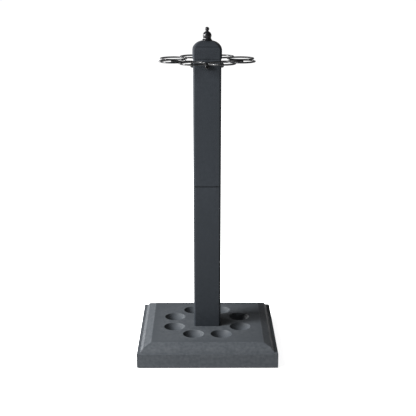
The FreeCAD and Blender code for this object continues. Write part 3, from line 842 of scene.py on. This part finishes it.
def make_bracket(side, turn):
    """An angled strap, round-ended on the post, with a rounded free end under the rings."""
    low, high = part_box("rack_bracket_right")
    half_width = high.y
    tab_middle = low.z + half_width
    path = bracket_path(low.x, high.x, high.z, tab_middle)
    place = Matrix.Rotation(turn, 4, "Z")
    skin = Skin()
    sections = []
    for k in range(1, BRACKET_END_STEPS + 1):
        angle = TURN / 4 * k / BRACKET_END_STEPS
        shrink = half_width * (1 - math.cos(angle)) * (1 - FREE_END_SHARE)
        width = half_width * (FREE_END_SHARE + (1 - FREE_END_SHARE) * math.sin(angle))
        at = (path[0][0][0] - shrink, path[0][0][1])
        sections.append(strap_section(skin, place, at, path[0][1], width))
    sections += [strap_section(skin, place, at, outward, half_width) for at, outward in path[1:]]
    at, outward = path[-1]
    for k in range(1, BRACKET_END_STEPS):
        angle = TURN / 4 * k / BRACKET_END_STEPS
        end = (at[0], at[1] - half_width * math.sin(angle))
        sections.append(strap_section(skin, place, end, outward, half_width * math.cos(angle)))
    skin.chain(sections)
    skin.close(sections[0])
    skin.close(sections[-1])
    node = "rack_bracket_" + side
    skin.piece(node + "_strap", MATERIALS["wire_enamel"], [node])


def hexagon_radius(angle, flats):
    sector = TURN / 6
    return flats / 2 / math.cos((angle + sector / 2) % sector - sector / 2)


def make_rack_screws():
    """Button heads with hexagon sockets, one on each bracket, and their shanks."""
    low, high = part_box("rack_screws")
    seat = high.x - SCREW_HEAD_HEIGHT
    height = (low.z + high.z) / 2
    dome = filleted([(SCREW_SHANK_RADIUS, -SCREW_SHANK_LENGTH, 0), (SCREW_SHANK_RADIUS, 0, 0),
                     (SCREW_HEAD_RADIUS, 0, SCREW_SEAT_ROUND),
                     (SCREW_HEAD_RADIUS, SCREW_HEAD_HEIGHT, SCREW_HEAD_ROUND),
                     (SCREW_SOCKET_FLATS * SCREW_FACE_SHARE, SCREW_HEAD_HEIGHT, 0)], SCREW_DOME_STEPS)
    skin = Skin()
    for k in range(4):
        place = Matrix.Rotation(TURN / 4 * k, 4, "Z") @ Matrix.Translation((seat, 0, height))
        place = place @ Matrix.Rotation(TURN / 4, 4, "Y")
        loops = lathe(skin, dome, SCREW_SEGMENTS, place)
        skin.close(loops[0])
        angles = [TURN * j / SCREW_SEGMENTS for j in range(SCREW_SEGMENTS)]
        for depth in (0, SCREW_SOCKET_DEPTH):
            points = [place @ Vector((hexagon_radius(a, SCREW_SOCKET_FLATS) * math.cos(a),
                                      hexagon_radius(a, SCREW_SOCKET_FLATS) * math.sin(a),
                                      SCREW_HEAD_HEIGHT - depth)) for a in angles]
            loops.append(skin.loop(points))
            skin.bridge(loops[-2], loops[-1])
        skin.close(loops[-1])
    skin.piece("rack_button_screws", MATERIALS["gloss_black"], ["rack_screws"])


# ---- feet and the CAD pieces that stay ---------------------------------------------------


def make_foot(node):
    """A tapered rubber foot with a screw recess and three grip grooves underneath."""
    low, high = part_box(node)
    centre = Vector(((low.x + high.x) / 2, (low.y + high.y) / 2, 0))
    top = (high.x - low.x) / 2
    bottom, recess = top - FOOT_TAPER, FOOT_RECESS_RADIUS
    outline = [(FOOT_HOLE_RADIUS, high.z, 0), (FOOT_HOLE_RADIUS, FOOT_RECESS_TOP, 0),
               (recess, FOOT_RECESS_TOP, 0), (recess, FOOT_EDGE, 0), (recess + FOOT_EDGE, 0, 0)]
    for k in range(FOOT_GROOVES):
        at = recess + FOOT_GROOVE_START + FOOT_GROOVE_PITCH * k
        outline += [(at - FOOT_GROOVE_HALF, 0, 0), (at, FOOT_GROOVE_DEPTH, 0), (at + FOOT_GROOVE_HALF, 0, 0)]
    outline += [(bottom - FOOT_RIM_FLAT, 0, 0), (bottom - FOOT_RIM_SLANT, FOOT_GROOVE_DEPTH, 0),
                (top, high.z, 0)]
    skin = Skin()
    lathe(skin, outline, FOOT_SEGMENTS, Matrix.Translation(centre), closed=True)
    skin.piece(node + "_pad", MATERIALS["foot_rubber"], [node])


def paint_cad_nodes():
    """Gives each CAD node that still shows its own finish."""
    slots = {s["node"]: s["material_slot"] for s in frame["record"]["subparts"]}
    for name, node in frame["nodes"].items():
        node.data.materials.clear()
        node.data.materials.append(MATERIALS[slots[name]])


# ---- stage -------------------------------------------------------------------------------


def make_floor():
    bm = bmesh.new()
    bmesh.ops.create_grid(bm, x_segments=FLOOR_CELLS, y_segments=FLOOR_CELLS, size=FLOOR_HALF)
    mesh = bpy.data.meshes.new("floor")
    bm.to_mesh(mesh)
    bm.free()
    mesh.materials.append(floor_paper())
    floor = bpy.data.objects.new("floor", mesh)
    bpy.context.scene.collection.objects.link(floor)


def make_camera():
    forward = Vector((math.sin(CAMERA_YAW) * math.cos(CAMERA_PITCH),
                      math.cos(CAMERA_YAW) * math.cos(CAMERA_PITCH), -math.sin(CAMERA_PITCH)))
    data = bpy.data.cameras.new("camera")
    data.lens, data.sensor_width = CAMERA_LENS, CAMERA_SENSOR
    camera = bpy.data.objects.new("camera", data)
    camera.location = CAMERA_PLACE
    camera.rotation_euler = forward.to_track_quat("-Z", "Y").to_euler()
    bpy.context.scene.collection.objects.link(camera)
    bpy.context.scene.camera = camera


def make_softbox(name, place, size, power):
    data = bpy.data.lights.new(name, "AREA")
    data.shape = "RECTANGLE"
    data.size, data.size_y = size
    data.energy = power
    light = bpy.data.objects.new(name, data)
    light.location = place
    light.rotation_euler = (Vector(LIGHT_TARGET) - Vector(place)).to_track_quat("-Z", "Y").to_euler()
    bpy.context.scene.collection.objects.link(light)


def make_lights():
    for softbox in SOFTBOXES:
        make_softbox(*softbox)
    world = bpy.data.worlds.new("studio")
    world.use_nodes = True
    background = world.node_tree.nodes["Background"]
    background.inputs["Color"].default_value = (1.0, 1.0, 1.0, 1.0)
    background.inputs["Strength"].default_value = WORLD_STRENGTH
    bpy.context.scene.world = world
    bpy.context.scene.view_settings.view_transform = "Standard"


# ---- all ---------------------------------------------------------------------------------


make_camera()
make_lights()
make_floor()
paint_cad_nodes()
make_base()
for tube in ("post_lower", "post_upper"):
    make_post_tube(tube)
make_cap()
make_finial()
make_finial_washer()
for number in range(RING_COUNT):
    make_ring("ring_" + str(number + 1))
make_ring_welds()
for quarter, side in enumerate(("right", "rear", "left", "front")):
    make_bracket(side, TURN / 4 * quarter)
make_rack_screws()
for corner in ("front_left", "front_right", "rear_left", "rear_right"):
    make_foot("foot_" + corner)
